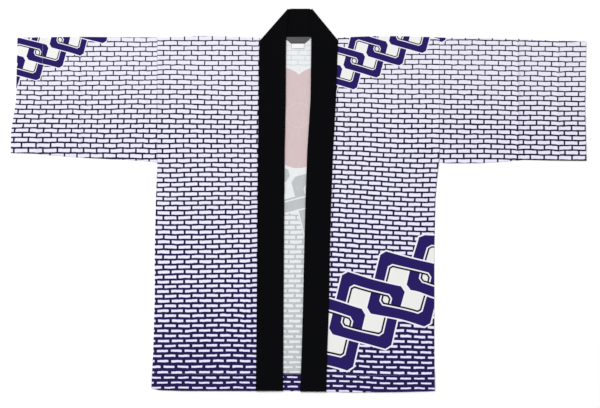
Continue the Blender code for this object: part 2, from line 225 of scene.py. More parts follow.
def lay_cloth(name, across, along, place, finishes, wall=WALL):
    """A sheet of cloth on a grid. place takes the grid's lines across and along, and gives
    x, y, z and the place on the flat cloth. The first finish is its right side, which faces
    up where across runs to +X and along to +Y, and the second its wrong side."""
    bm = bmesh.new()
    bmesh.ops.create_grid(bm, x_segments=len(across) - 1, y_segments=len(along) - 1, size=0.5)
    mesh = bpy.data.meshes.new(name)
    bm.to_mesh(mesh)
    spots = np.empty(len(mesh.vertices) * 3)
    mesh.vertices.foreach_get("co", spots)
    steps = spots.reshape(-1, 3)[:, :2] + 0.5
    s = across[np.rint(steps[:, 0] * (len(across) - 1)).astype(int)]
    t = along[np.rint(steps[:, 1] * (len(along) - 1)).astype(int)]
    x, y, z, u, v = place(s, t)
    mesh.vertices.foreach_set("co", np.stack([x, y, z], axis=1).ravel())
    corners = np.empty(len(mesh.loops), dtype=np.int32)
    mesh.loops.foreach_get("vertex_index", corners)
    flat = mesh.uv_layers.new(name="cloth")
    flat.data.foreach_set("uv", np.stack([u, v], axis=1)[corners].ravel())
    bm.clear()
    bm.from_mesh(mesh)
    bmesh.ops.remove_doubles(bm, verts=bm.verts, dist=1e-6)
    bm.to_mesh(mesh)
    bm.free()
    mesh.shade_smooth()
    for finish in finishes:
        mesh.materials.append(finish)
    piece = show(name, mesh)
    thick = piece.modifiers.new("wall", "SOLIDIFY")
    thick.thickness = wall
    thick.offset = 0
    thick.use_even_offset = True
    thick.material_offset = len(finishes) - 1
    return piece


WHITE = (0.775, 0.755, 0.868, 1)  # at the shoulder
HEM_WHITE = (0.795, 0.775, 0.955, 1)
BLEED = (0.300, 0.260, 0.750, 1)  # of the ink into the white, towards the hem
INK = (0.0120, 0.0095, 0.0200, 1)  # of the lines between the bricks, at the shoulder
HEM_INK = (0.0155, 0.0095, 0.0700, 1)
LINK_INK = (0.0190, 0.0105, 0.1120, 1)
LINK_WHITE = (0.830, 0.825, 0.880, 1)
LINK_GROUND = (0.790, 0.790, 0.780, 1)  # the white in the holes of the links
LINK_SHADE = (0.0080, 0.0070, 0.0200, 1)  # the dark line inside a link
PRINT_SOFT = 0.0002  # half of the softness of a printed edge


def new_group(name, inputs, outputs):
    """A shader node group with named sockets, given as name and socket type."""
    group = bpy.data.node_groups.new(name, "ShaderNodeTree")
    for in_out, sockets in (("INPUT", inputs), ("OUTPUT", outputs)):
        for label, kind in sockets:
            group.interface.new_socket(label, in_out=in_out, socket_type="NodeSocket" + kind)
    return group, group.nodes.new("NodeGroupInput"), group.nodes.new("NodeGroupOutput")


def feed(tree, socket, value):
    """Puts a value, or a link from another socket, into a socket."""
    if isinstance(value, bpy.types.NodeSocket):
        tree.links.new(value, socket)
    else:
        socket.default_value = value


def calc(tree, operation, *values):
    """The output of a Math node."""
    node = tree.nodes.new("ShaderNodeMath")
    node.operation = operation
    for socket, value in zip(node.inputs, values):
        feed(tree, socket, value)
    return node.outputs[0]


def blend(tree, share, first, second):
    """The output of a colour Mix node."""
    node = tree.nodes.new("ShaderNodeMix")
    node.data_type = "RGBA"
    feed(tree, node.inputs[0], share)
    feed(tree, node.inputs[6], first)
    feed(tree, node.inputs[7], second)
    return node.outputs[2]


def ramp(tree, value, low, high, to_low=0.0, to_high=1.0):
    """A value carried from one range to another, and held at its ends."""
    node = tree.nodes.new("ShaderNodeMapRange")
    for socket, given in zip(node.inputs, (value, low, high, to_low, to_high)):
        feed(tree, socket, given)
    return node.outputs[0]


def inside(tree, value, edge=0.0, soft=PRINT_SOFT):
    """1 where a value is below an edge and 0 above it, with a soft step."""
    return ramp(tree, value, edge - soft, edge + soft, 1.0, 0.0)


def between(tree, value, low, high):
    """1 where a value is between two others, with soft edges."""
    above = ramp(tree, value, low - PRINT_SOFT, low + PRINT_SOFT)
    return calc(tree, "MULTIPLY", above, inside(tree, value, high))


def sway(tree, value, size):
    """A value from 0 to 1 carried to half of a size on both sides of 0."""
    return calc(tree, "MULTIPLY_ADD", value, size, -size / 2)


def ripple(tree, value, long):
    """A sine wave of a length along a value."""
    return calc(tree, "SINE", calc(tree, "MULTIPLY", value, math.tau / long))


def far_out(tree, x, y):
    """How far a place is from the middle."""
    squares = calc(tree, "ADD", calc(tree, "MULTIPLY", x, x), calc(tree, "MULTIPLY", y, y))
    return calc(tree, "SQRT", squares)


def split(tree, vector):
    """The x and y of a vector."""
    node = tree.nodes.new("ShaderNodeSeparateXYZ")
    feed(tree, node.inputs[0], vector)
    return node.outputs[0], node.outputs[1]


def join(tree, x, y):
    """A vector from x and y."""
    node = tree.nodes.new("ShaderNodeCombineXYZ")
    feed(tree, node.inputs[0], x)
    feed(tree, node.inputs[1], y)
    return node.outputs[0]


def noise(tree, vector, scale, detail, roughness=0.5):
    """A Noise Texture's value."""
    node = tree.nodes.new("ShaderNodeTexNoise")
    feed(tree, node.inputs["Vector"], vector)
    node.inputs["Scale"].default_value = scale
    node.inputs["Detail"].default_value = detail
    node.inputs["Roughness"].default_value = roughness
    return node.outputs[0]


COURSES = 70.0  # from the shoulder to the hem
LINE_HALF = 0.0013  # half of the line between two bricks, at the shoulder
LINE_OPENS = 0.0005  # what it gains over the first courses
LINE_OPENS_AT = (5.0, 17.0)  # which are these
LINE_GROWS = 0.0019  # and what it gains towards the hem
INK_TURNS = (0.15, 0.85)  # shares of the way down between which it turns purple
HAND_WOBBLE = 0.0032  # unevenness of the hand-made print: of its courses
HAND_SLIP = 0.07  # of its joints, as a share of a brick
HAND_EDGE = 0.0014  # and of its edges
BRICK_ROUND = 0.0012  # rounding of a brick's corners
BRICK_SOFT = 0.00015  # half of the softness of its edge
BLEED_WIDE = 0.0010  # how far the ink bleeds into a brick near the hem
BLEED_MOST = 0.45  # and how much of it, at the brick's edge


def brick_group():
    """White bricks on an inked ground. Its lines widen, and turn from black to purple,
    towards the hem. Spread widens them near the shoulder."""
    inputs = [("Cloth", "Vector"), ("Spread", "Float")]
    tree, given, out = new_group("bricks", inputs, [("Colour", "Color")])
    u, v = split(tree, given.outputs["Cloth"])
    wobble = noise(tree, given.outputs["Cloth"], scale=45.0, detail=2.0)
    v = calc(tree, "ADD", v, sway(tree, wobble, HAND_WOBBLE))
    down = calc(tree, "MULTIPLY", v, -1 / COURSE)
    row = calc(tree, "FLOOR", down)
    uneven = tree.nodes.new("ShaderNodeTexWhiteNoise")
    uneven.noise_dimensions = "1D"
    feed(tree, uneven.inputs["W"], row)
    slip = sway(tree, uneven.outputs[0], HAND_SLIP)
    shift = calc(tree, "MULTIPLY_ADD", calc(tree, "MODULO", row, 2.0), 0.5, slip)
    along = calc(tree, "ADD", calc(tree, "MULTIPLY", u, 1 / BRICK_LONG), shift)
    low = ramp(tree, down, 0.0, COURSES)
    half = calc(tree, "MULTIPLY_ADD", calc(tree, "POWER", low, 3.0), LINE_GROWS, LINE_HALF)
    half = calc(tree, "ADD", half, ramp(tree, down, *LINE_OPENS_AT, 0.0, LINE_OPENS))
    hand = noise(tree, given.outputs["Cloth"], scale=160.0, detail=3.0)
    half = calc(tree, "ADD", half, sway(tree, hand, HAND_EDGE))
    fade = calc(tree, "SUBTRACT", 1.0, low)
    half = calc(tree, "MULTIPLY_ADD", given.outputs["Spread"], fade, half)
    gaps = []
    for count, size in ((along, BRICK_LONG), (down, COURSE)):
        part = calc(tree, "FRACT", count)
        near = calc(tree, "MINIMUM", part, calc(tree, "SUBTRACT", 1.0, part))
        gaps.append(calc(tree, "SUBTRACT", calc(tree, "MULTIPLY", near, size), half))
    into = calc(tree, "SMOOTH_MIN", gaps[0], gaps[1], BRICK_ROUND)
    ground = inside(tree, into, soft=BRICK_SOFT)
    white = blend(tree, low, WHITE, HEM_WHITE)
    bleed = calc(tree, "MULTIPLY", ramp(tree, into, 0.0, BLEED_WIDE, BLEED_MOST, 0.0), low)
    white = blend(tree, bleed, white, BLEED)
    ink = blend(tree, ramp(tree, low, *INK_TURNS), INK, HEM_INK)
    feed(tree, out.inputs["Colour"], blend(tree, ground, white, ink))
    return tree


LINK_X = 0.0726  # half of a link's outer size, along its row and up
LINK_Y = 0.0712
LINK_BAND = 0.0228
LINK_CUT = 0.0110  # how far a corner is cut off, outside
HOLE_CUT = 0.0085  # and inside
LINK_EDGE = 0.0032  # width of the white line along a band
SHADE_NEAR = 0.0031  # the dark line inside a hole, from its edge
SHADE_FAR = 0.0072
LINK_STEP_X = 0.0725  # from a link to the next
LINK_STEP_Y = 0.0684


def box_gap(tree, x, y, half_x, half_y, cut):
    """Distance outside a box with its corners cut off."""
    x, y = calc(tree, "ABSOLUTE", x), calc(tree, "ABSOLUTE", y)
    sides = calc(tree, "SUBTRACT", x, half_x), calc(tree, "SUBTRACT", y, half_y)
    corner = calc(tree, "SUBTRACT", calc(tree, "ADD", x, y), half_x + half_y - cut)
    corner = calc(tree, "MULTIPLY", corner, math.sqrt(0.5))
    return calc(tree, "MAXIMUM", calc(tree, "MAXIMUM", *sides), corner)


def link_group():
    """A row of square links, each threaded through the next. Links is the vector from the
    middle of one of them. Cover is 1 on the row, and Colour is what it is printed in."""
    outputs = [("Colour", "Color"), ("Cover", "Float")]
    tree, given, out = new_group("links", [("Links", "Vector")], outputs)
    x, y = split(tree, given.outputs["Links"])
    part_x = calc(tree, "DIVIDE", x, LINK_STEP_X)
    part_y = calc(tree, "DIVIDE", y, LINK_STEP_Y)
    number = calc(tree, "FLOOR", calc(tree, "MULTIPLY", calc(tree, "ADD", part_x, part_y), 0.5))
    gaps = []
    for step in (0, 1):
        count = calc(tree, "ADD", number, float(step))
        in_x = calc(tree, "SUBTRACT", x, calc(tree, "MULTIPLY", count, LINK_STEP_X))
        in_y = calc(tree, "SUBTRACT", y, calc(tree, "MULTIPLY", count, LINK_STEP_Y))
        outer = box_gap(tree, in_x, in_y, LINK_X, LINK_Y, LINK_CUT)
        hole = box_gap(tree, in_x, in_y, LINK_X - LINK_BAND, LINK_Y - LINK_BAND, HOLE_CUT)
        gaps.append((outer, hole))
    first_over = calc(tree, "GREATER_THAN", part_y, part_x)
    over, under = [], []
    for first, second in zip(*gaps):
        away = calc(tree, "SUBTRACT", first, second)
        over.append(calc(tree, "MULTIPLY_ADD", away, first_over, second))
        under.append(calc(tree, "SUBTRACT", calc(tree, "ADD", first, second), over[-1]))
    colour = LINK_GROUND
    for outer, hole in (under, over):
        outer_edge = between(tree, outer, 0.0, LINK_EDGE)
        edge = calc(tree, "MAXIMUM", outer_edge, between(tree, hole, -LINK_EDGE, 0.0))
        not_hole = ramp(tree, hole, -PRINT_SOFT, PRINT_SOFT)
        band = calc(tree, "MULTIPLY", inside(tree, outer), not_hole)
        colour = blend(tree, between(tree, hole, -SHADE_FAR, -SHADE_NEAR), colour, LINK_SHADE)
        colour = blend(tree, edge, colour, LINK_WHITE)
        colour = blend(tree, band, colour, LINK_INK)
    feed(tree, out.inputs["Colour"], colour)
    nearest = calc(tree, "MINIMUM", gaps[0][0], gaps[1][0])
    feed(tree, out.inputs["Cover"], inside(tree, nearest, LINK_EDGE))
    return tree


PETAL_OUT = 0.066  # from the middle of the blossom to the middle of a petal
PETAL_R = 0.055
PETAL_EDGE = 0.0071  # width of the white edge
PETAL_SOFT = 0.0003
RING_R = 0.0280  # of the thin white ring
MIDDLE_R = 0.0295  # of the red middle, where the petals meet
LINE_HALF_WIDE = 0.0008  # of the ring and of the five threads
THREADS_IN = 0.006  # the threads start so far from the middle
THREADS_OUT = 0.015  # and end here


def blossom_group():
    """A five-petalled blossom. Blossom is the vector from its middle. Each output is 1 on a
    part of it: its white edge, its red petals and the white lines on them."""
    outputs = [("Edge", "Float"), ("Red", "Float"), ("Line", "Float")]
    tree, given, out = new_group("blossom", [("Blossom", "Vector")], outputs)
    x, y = split(tree, given.outputs["Blossom"])
    turn = calc(tree, "ARCTAN2", x, calc(tree, "MULTIPLY", y, -1.0))
    far = far_out(tree, x, y)
    petal = math.tau / 5
    nearest = calc(tree, "MULTIPLY", calc(tree, "ROUND", calc(tree, "DIVIDE", turn, petal)), petal)
    turn = calc(tree, "SUBTRACT", turn, nearest)
    side = calc(tree, "MULTIPLY", far, calc(tree, "SINE", turn))
    along = calc(tree, "MULTIPLY", far, calc(tree, "COSINE", turn))
    from_petal = far_out(tree, side, calc(tree, "SUBTRACT", along, PETAL_OUT))
    edge = calc(tree, "SUBTRACT", from_petal, PETAL_R)
    petals = inside(tree, edge, soft=PETAL_SOFT)
    threads = inside(tree, calc(tree, "ABSOLUTE", side), LINE_HALF_WIDE)
    threads = calc(tree, "MULTIPLY", threads, between(tree, far, THREADS_IN, THREADS_OUT))
    ring = between(tree, far, RING_R - LINE_HALF_WIDE, RING_R + LINE_HALF_WIDE)
    middle = inside(tree, far, MIDDLE_R, soft=0.0005)
    feed(tree, out.inputs["Edge"], inside(tree, edge, PETAL_EDGE, soft=PETAL_SOFT))
    feed(tree, out.inputs["Red"], calc(tree, "MAXIMUM", petals, middle))
    line = calc(tree, "MAXIMUM", threads, ring)
    feed(tree, out.inputs["Line"], calc(tree, "MULTIPLY", line, petals))
    return tree


WEAVE = 0.0009  # one wave of the weave, over a thread and under the next


def cotton_group():
    """Plain-woven cotton. Height is its threads and its slight crumple, Tone the uneven depth of its
    colour and the painted shade of its weave, Slub its thick and thin threads and Rough its
    roughness."""
    outputs = [("Height", "Float"), ("Tone", "Float"), ("Slub", "Float"), ("Rough", "Float")]
    tree, given, out = new_group("cotton", [("Cloth", "Vector")], outputs)
    cloth = given.outputs["Cloth"]
    u, v = split(tree, cloth)
    threads = [calc(tree, "MULTIPLY", ripple(tree, along, WEAVE), 0.5) for along in (u, v)]
    weave = calc(tree, "MULTIPLY", *threads)
    slub = noise(tree, join(tree, u, calc(tree, "MULTIPLY", v, 0.06)), scale=700.0, detail=2.0)
    crumple = noise(tree, cloth, scale=38.0, detail=5.0, roughness=0.62)
    height = calc(tree, "MULTIPLY_ADD", weave, 0.10, calc(tree, "MULTIPLY", slub, 0.12))
    feed(tree, out.inputs["Height"], calc(tree, "MULTIPLY_ADD", crumple, 1.5, height))
    patch = noise(tree, cloth, scale=14.0, detail=3.0)
    tone = calc(tree, "MULTIPLY_ADD", patch, 0.03, 0.985)
    tone = calc(tree, "ADD", tone, sway(tree, slub, 0.04))
    feed(tree, out.inputs["Slub"], slub)
    # painted light and shade: the weave makes the colour lighter and darker in a fine grid, where
    # the threads cross
    feed(tree, out.inputs["Tone"], calc(tree, "MULTIPLY_ADD", weave, 0.06, tone))
    feed(tree, out.inputs["Rough"], ramp(tree, slub, 0.3, 0.7, 0.82, 0.96))
    return tree


BRICKS, LINKS, BLOSSOM, COTTON = brick_group(), link_group(), blossom_group(), cotton_group()
# What shows of the print on the wrong side of the cloth.
THROUGH_WHITE = (0.765, 0.785, 0.795, 1)
THROUGH_INK = (0.485, 0.508, 0.522, 1)
THROUGH_RED = (0.622, 0.494, 0.500, 1)
THROUGH_LINE = (0.640, 0.560, 0.565, 1)
THROUGH_SPREAD = -0.0008  # less of a thin line comes through
RED = (0.450, 0.018, 0.030, 1)
# A row of links: the middle of one of them, its size, and how far the row leans. A flipped
# row runs the other way, as it does on the back.
LinkRow = namedtuple("LinkRow", "u v size flip lean")
LEAN = math.radians(-15)  # of a row on the back or the shoulders


def use(tree, group, vector):
    """A group placed in a material."""
    node = tree.nodes.new("ShaderNodeGroup")
    node.node_tree = group
    feed(tree, node.inputs[0], vector)
    return node


def placed(tree, cloth, u, v, size=1.0, flip=False, lean=0.0):
    """The cloth's place as seen from a printed motif's own middle."""
    node = tree.nodes.new("ShaderNodeMapping")
    node.vector_type = "TEXTURE"
    feed(tree, node.inputs["Vector"], cloth)
    node.inputs["Location"].default_value = (u, v, 0)
    node.inputs["Rotation"].default_value = (0, 0, -lean if flip else lean)
    node.inputs["Scale"].default_value = (-size if flip else size, size, 1)
    return node.outputs[0]


def rows_on(lie, rows):
    """Rows of links that are given by their places on the coat, moved to the flat cloth."""
    moved = []
    for row in rows:
        u, v = print_place(lie, row.u, row.v)
        moved.append(row._replace(u=u, v=v))
    return moved


LINK_DROP = 0.0098  # how far one corner of the chain is drawn lower than its rule
LINK_DROP_REACH = 0.052  # and how far round that corner it is felt


def dropped(tree, cloth, u, v):
    """The cloth's place where the chain is drawn lower around one point."""
    off = tree.nodes.new("ShaderNodeVectorMath")
    off.operation = "DISTANCE"
    feed(tree, off.inputs[0], cloth)
    off.inputs[1].default_value = (u, v, 0)
    drop = ramp(tree, off.outputs["Value"], 0, LINK_DROP_REACH, LINK_DROP, 0)
    across, along = split(tree, cloth)
    return join(tree, across, calc(tree, "ADD", along, drop))


def new_finish(name, specular):
    """A material, its nodes and its shader."""
    made = bpy.data.materials.new(name)
    made.use_nodes = True
    shader = made.node_tree.nodes["Principled BSDF"]
    shader.inputs["Specular IOR Level"].default_value = specular
    return made, made.node_tree, shader


def flat_cloth(tree):
    """The place on a piece's own flat cloth."""
    node = tree.nodes.new("ShaderNodeUVMap")
    node.uv_map = "cloth"
    return node.outputs[0]


def toned(tree, colour, tone):
    """A colour made lighter or darker."""
    node = tree.nodes.new("ShaderNodeVectorMath")
    node.operation = "SCALE"
    feed(tree, node.inputs[0], colour)
    feed(tree, node.inputs["Scale"], tone)
    return node.outputs[0]


def relief(tree, shader, height, strength, distance):
    """Threads and crumple too small for the mesh."""
    bump = tree.nodes.new("ShaderNodeBump")
    bump.inputs["Strength"].default_value = strength
    bump.inputs["Distance"].default_value = distance
    feed(tree, bump.inputs["Height"], height)
    feed(tree, shader.inputs["Normal"], bump.outputs[0])


def cotton(name, rows=(), blossom=None, wrong=False, corner=None):
    """Printed cotton: its right side, or its wrong side with the ink showing through. corner:
    where a link of the chain is drawn lower."""
    made, tree, shader = new_finish(name, specular=0.08)
    cloth = flat_cloth(tree)
    bricks = use(tree, BRICKS, cloth)
    bricks.inputs["Spread"].default_value = THROUGH_SPREAD if wrong else 0.0
    colour = bricks.outputs["Colour"]
    chain = dropped(tree, cloth, *corner) if corner else cloth
    for row in rows:
        link = use(tree, LINKS, placed(tree, chain, *row))
        colour = blend(tree, link.outputs["Cover"], colour, link.outputs["Colour"])
    if wrong:
        dark = tree.nodes.new("ShaderNodeRGBToBW")
        feed(tree, dark.inputs[0], colour)
        inked = ramp(tree, dark.outputs[0], 0.02, 0.80, 1.0, 0.0)
        colour = blend(tree, inked, THROUGH_WHITE, THROUGH_INK)
    if blossom:
        flower = use(tree, BLOSSOM, placed(tree, cloth, *blossom))
        inks = (THROUGH_WHITE, THROUGH_RED, THROUGH_LINE) if wrong else (LINK_WHITE, RED, LINK_WHITE)
        for part, ink in zip(("Edge", "Red", "Line"), inks):
            colour = blend(tree, flower.outputs[part], colour, ink)
    woven = use(tree, COTTON, cloth)
    # the Tone carries the painted shade of the weave along with the random depth of the colour
    tone = woven.outputs["Tone"]
    if wrong:
        tone = calc(tree, "ADD", tone, ramp(tree, woven.outputs["Slub"], 0.3, 0.7, -0.05, 0.05))
    feed(tree, shader.inputs["Base Color"], toned(tree, colour, tone))
    feed(tree, shader.inputs["Roughness"], woven.outputs["Rough"])
    relief(tree, shader, woven.outputs["Height"], strength=0.35, distance=0.0008)
    return made


def cotton_thread():
    """Spun white sewing thread, with painted shade in the grooves of the twist of its plies."""
    made, tree, shader = new_finish("thread", specular=0.2)
    x, y = split(tree, tree.nodes.new("ShaderNodeTexCoord").outputs["Object"])
    # painted shade: grey stripes along the twist stand for the shade in the grooves between the
    # plies; the thread itself is white
    ply_groove_shade = ramp(tree, ripple(tree, calc(tree, "ADD", x, y), 0.0005), -1.0, 1.0)
    feed(tree, shader.inputs["Base Color"], blend(tree, ply_groove_shade, WHITE, THROUGH_INK))
    shader.inputs["Roughness"].default_value = 0.8
    return made


STITCH = 0.0036  # from one stitch to the next
STITCH_HALF = 0.0013
THREAD_HALF = 0.0003
THREAD_HIGH = 0.00022
STITCH_IN = 0.002  # from the edge of a turned hem to its stitches
thread = cotton_thread()


def sew(name, place, shares, length, along_cuff=False):
    """A row of stitches, half sunk in a piece of cloth, at shares of the way across it and a
    length along it."""
    x, y, z, _, _ = place(shares, np.full(len(shares), length))
    half_x, half_y = (THREAD_HALF, STITCH_HALF) if along_cuff else (STITCH_HALF, THREAD_HALF)
    bm = bmesh.new()
    for spot in zip(x, y, z + WALL / 2):
        shape = Matrix.Translation(spot) @ Matrix.Diagonal((half_x, half_y, THREAD_HIGH, 1))
        bmesh.ops.create_icosphere(bm, subdivisions=1, radius=1, matrix=shape)
    mesh = bpy.data.meshes.new(name)
    bm.to_mesh(mesh)
    bm.free()
    mesh.shade_smooth()
    mesh.materials.append(thread)
    row = show(name, mesh)
    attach(row, "root")
    return row


def crest(x):
    """The outer edge of the shoulder fold."""
    bow = np.sin(math.pi * share_of(NECK_X, ARMHOLE_X, np.abs(x)))
    return SHOULDER_Y + SHOULDER_BOW * bow


NECKLINE_Y = 0.3677  # the neck seam, behind the neck
NECKLINE_FLAT = 0.0450  # half of its straight middle
NECK_CORNER_X = 0.0850
NECK_CORNER_Y = 0.3575
BODY_LONG = 0.7950  # of the cloth from the hem's fold to the shoulder, before it is fitted
BODY_MESH = 0.0046  # size of a face
HEM_R = LAYER / 2  # bend of the cloth at the hem's fold


def back_top(x):
    """The back's upper edge: the neckline, and where it meets what comes over the shoulder."""
    drop = share_of(NECKLINE_FLAT, NECK_CORNER_X, np.abs(x))
    neck = NECKLINE_Y + (NECK_CORNER_Y - NECKLINE_Y) * drop
    shoulder = crest(x) - SHOULDER_LAP - WALL - SEAM_GAP
    return np.where(np.abs(x) < NECK_X, neck, shoulder)


def back_place(s, t):
    """s is the share of the way from the right side seam to the left. t is the length of
    cloth up from the hem's fold, on the floor, and up the turned hem where it is below 0."""
    foot = CUTS[0]
    hem_x = foot.side_right + (foot.side_left - foot.side_right) * s
    hem = column(HEMS, "x", "y", hem_x) + WALL / 2
    y, rise, _ = span(t, BODY_LONG, hem, HEM_R, 0, WALL)
    at = np.where(t > KEPT, y + SHOULDER_Y * share_of(KEPT, BODY_LONG, t), y)
    right = column(CUTS, "y", "side_right", at) + SEAM_GAP
    x = right + (column(CUTS, "y", "side_left", at) - SEAM_GAP - right) * s
    y = np.where(t > KEPT, y + back_top(x) * share_of(KEPT, BODY_LONG, t), y)
    lift = creased(BACK_CREASES, x, y) * eased(0, 0.03, y - hem - HEM_TURN)
    u, v = print_place(BACK_LIE, x, np.where(t > 0, y, 2 * hem - y))
    slip = np.where(t > 0, 0, BACK_HEM_SLIP)
    return x, y, FLOOR_Z + HEM_R - rise + lift, u + slip, v


FOLD_STEPS = (0, 0.0003, 0.0006, 0.0009, 0.0014, 0.0022)  # grid lines next to a fold


def body_lines(beyond):
    """Grid lines up a panel of the body: the turned hem, the panel, and what runs on over
    the shoulder."""
    hem = lines(-HEM_TURN, 0, BODY_MESH, (0, 0.001), FOLD_STEPS)
    panel = lines(0, BODY_LONG, BODY_MESH, FOLD_STEPS, FOLD_STEPS)
    lap = lines(BODY_LONG, BODY_LONG + beyond, BODY_MESH, FOLD_STEPS, (0,)) if beyond else []
    return np.array(sorted({*hem, *panel, *lap}))


blossom_at = print_place(BACK_LIE, 0.0, 0.1920)
back_rows = rows_on(BACK_LIE, [LinkRow(-0.0178, 0.0480, 1.0, True, LEAN)])
right_side = cotton("back_cotton", back_rows, blossom_at)
wrong_side = cotton("back_cotton_inside", back_rows, blossom_at, wrong=True)
back = lay_cloth(
    "back_panel",
    lines(0, 1, BODY_MESH / BODY_WIDE, (0, 0.002), (0, 0.002))[::-1],
    body_lines(0),
    back_place,
    [right_side, wrong_side],
)
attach(back, "root")
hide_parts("back")
HEM_LONG = 0.637
shares = np.arange(0.004, 0.996, STITCH / HEM_LONG)
back_stitches = sew("back_hem_stitches", back_place, shares, STITCH_IN - HEM_TURN)


# ---------------------------------------------------------------------------------------
# The two fronts: printed cotton like the back, lying on it with the right side up. Each is
# hemmed to the inside, sewn to the back at its side and to a sleeve at its armhole, and runs
# over the shoulder. Folding has left sharp creases up and across them.

TOP_Z = FLOOR_Z + LAYER  # middle of a front where it touches the back
LOFT = 0.0009  # how far a front stands off the back between its seams
UNDER_BAND = 0.0080  # how far a front runs in under the collar band
MITRE_LOW = 0.335  # a front's edge under the band draws back to the seam from here
MITRE_HIGH = 0.355  # to here, where the band is mitred
UNDERARM_Y = 0.0850
SEWN_DOWN = 0.040  # below the underarm, over which the side seam takes hold
SIDE_ROLL = 0.030  # width over which a front comes down to the side seam
DITCH = 0.0007  # depth of the dip along an armhole seam
DITCH_WIDE = 0.0030
SEAM_HIGH = 0.0026  # rise of the cloth over the seam allowances beside it
SEAM_WIDE = 0.0140
SEAM_NEAR = 0.0120  # width next to a seam over which creases and waves fade out
SHOULDER_FLAT = 0.012  # so near to the shoulder fold a front lies flat
SHOULDER_LOOSE = 0.045  # and so far below it, it lies loose
HEM_STIFF = 0.75  # how much of its creases a hem takes out of the cloth
HEM_PRESS = 0.5  # and how much of its loft
FRONT_LIES = {
    "right": Lie(
        [
            Course(-0.4153, 69),
            Course(-0.3926, 67),
            Course(-0.3548, 64),
            Course(-0.1969, 50),
            Course(-0.1760, 48),
            Course(-0.0002, 32),
            Course(0.0090, 31),
            Course(0.0845, 24),
            Course(0.3485, 0),
        ],
        [Joint(-0.2885, 0), Joint(-0.1946, 3), Joint(-0.1040, 6)],
        [
            Skew(-0.3790, -0.0022),
            Skew(-0.3000, 0),
            Skew(-0.0550, 0.0006),
            Skew(0.0530, 0),
            Skew(0.1340, -0.0029),
            Skew(0.2690, 0),
        ],
        [
            Pull(-0.108, -0.050, 0.025, 0.17, -0.0045, 0),
            Pull(-0.100, 0.220, 0.07, 0.09, 0, -0.0027),
            Pull(-0.090, -0.085, 0.09, 0.10, 0, 0.0040),
            Pull(-0.320, -0.180, 0.05, 0.055, 0, -0.0034),
        ],
    ),
    "left": Lie(
        [
            Course(-0.4173, 69),
            Course(-0.3950, 67),
            Course(-0.3816, 66),
            Course(-0.3473, 63),
            Course(-0.0455, 36),
            Course(0.0405, 28),
            Course(0.1286, 20),
            Course(0.2175, 12),
        ],
        [Joint(0.1334, 0), Joint(0.2246, 3), Joint(0.2867, 5)],
        [
            Skew(-0.3521, -0.0152),
            Skew(-0.0506, -0.0121),
            Skew(0.0349, -0.0080),
            Skew(0.1226, -0.0020),
            Skew(0.2126, 0),
        ],
        [
            Pull(0.070, -0.070, 0.10, 0.35, 0, 0.0083),
            Pull(0.050, -0.430, 0.10, 0.05, 0, 0.0040),
            Pull(0.235, -0.275, 0.06, 0.055, 0, 0.0048),
            Pull(0.290, -0.080, 0.06, 0.07, 0, -0.0025),
            Pull(0.268, -0.198, 0.03, 0.028, 0.0030, 0.0045),
            Pull(0.125, -0.262, 0.045, 0.04, -0.0015, -0.0035),
            Pull(0.280, 0.250, 0.08, 0.08, 0, -0.0012),
        ],
    ),
}
TOP_CREASES = [
    Crease(-0.1200, 0.060, -0.1215, -0.392, 0.0, 0.0024, 0.0050),
    Crease(-0.1105, 0.120, -0.1090, -0.350, 0.001, 0.0026, 0.0045),
    Crease(-0.3200, 0.011, -0.1850, 0.005, 0.001, 0.0026, 0.0060),
    Crease(-0.2200, 0.006, -0.0900, 0.003, 0.0, 0.0012, 0.0090),
    Crease(-0.3100, -0.176, -0.1000, -0.192, 0.010, 0.0020, 0.0120),
    Crease(-0.1400, 0.026, -0.0900, 0.012, 0.0, 0.0020, 0.0045),
    Crease(-0.1250, 0.001, -0.0900, 0.012, 0.0, 0.0022, 0.0040),
    Crease(-0.2050, 0.350, -0.2150, 0.080, 0.004, 0.0010, 0.0180),
    Crease(-0.2600, -0.330, -0.2480, -0.180, 0.006, 0.0009, 0.0160),
    Crease(-0.3050, 0.180, -0.1500, 0.200, 0.006, 0.0008, 0.0150),
    Crease(0.1075, 0.262, 0.1065, -0.215, 0.0, 0.0026, 0.0050),
    Crease(0.1350, 0.008, 0.3080, 0.008, 0.001, 0.0028, 0.0060),
    Crease(0.0750, 0.011, 0.1700, 0.008, 0.0, 0.0012, 0.0100),
    Crease(0.1350, 0.111, 0.3160, 0.114, 0.0, 0.0016, 0.0100),
    Crease(0.2300, 0.113, 0.3170, 0.114, 0.0, 0.0018, 0.0050),
    Crease(0.0900, -0.310, 0.3000, -0.335, -0.008, 0.0011, 0.0140),
    Crease(0.2150, 0.350, 0.2250, 0.130, -0.004, 0.0009, 0.0170),
    Crease(0.2250, -0.040, 0.2150, -0.200, 0.005, 0.0009, 0.0160),
    Crease(0.1500, -0.120, 0.3040, -0.140, 0.007, 0.0010, 0.0130),
]
HEM_UP = 0.049  # how far above the hem the step down from its layers ends
HEM_STEP = HEM_TURN + 0.001  # and where it starts
WAVE = 0.0003  # height of the waves in cloth that lies loose
PRINT_DRAW = 0.3  # how far a crease draws the print aside, to its height
PRINT_SWAY = 2.5  # and the waves, to theirs


def waves(x, y):
    """The slow unevenness of cloth that lies loose."""
    slow = np.sin(21 * x + 2.1) * np.sin(17 * y + 0.7)
    return WAVE * (slow + 0.6 * np.sin(47 * x - 31 * y + 1.3) * np.sin(39 * y + 2.6))


